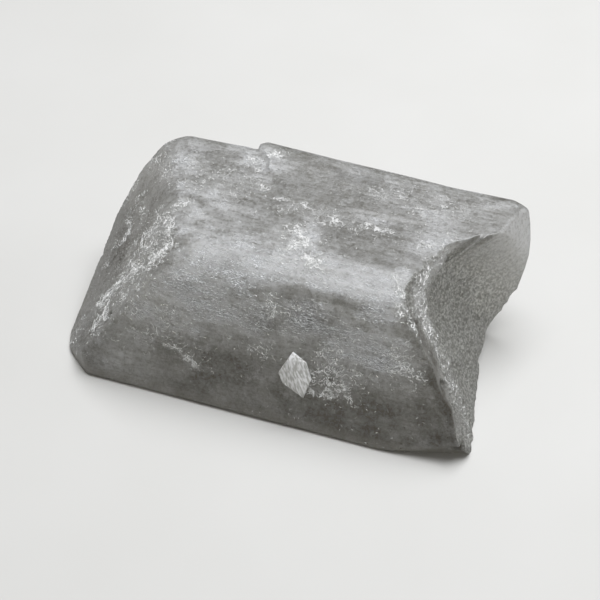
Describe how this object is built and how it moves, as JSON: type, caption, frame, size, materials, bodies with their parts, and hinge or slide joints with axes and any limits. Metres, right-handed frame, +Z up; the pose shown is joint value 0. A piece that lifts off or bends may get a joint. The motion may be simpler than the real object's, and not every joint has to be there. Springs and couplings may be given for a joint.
{
  "type": "danburite crystal",
  "caption": "Clear grey danburite crystal lying on a prism face, chisel-shaped at one end and broken at the other, with a small crystal grown on its front.",
  "frame": {"origin": "centre of the bounding box at the base, on the surface the crystal lies on", "axes": "+X along the crystal towards its broken end, +Y from its front to its back, +Z up"},
  "size_m": [0.0666, 0.037, 0.0228],
  "materials": {
    "danburite": "satin"
  },
  "bodies": {
    "root": {"danburite_crystal": "danburite"}
  },
  "joints": []
}
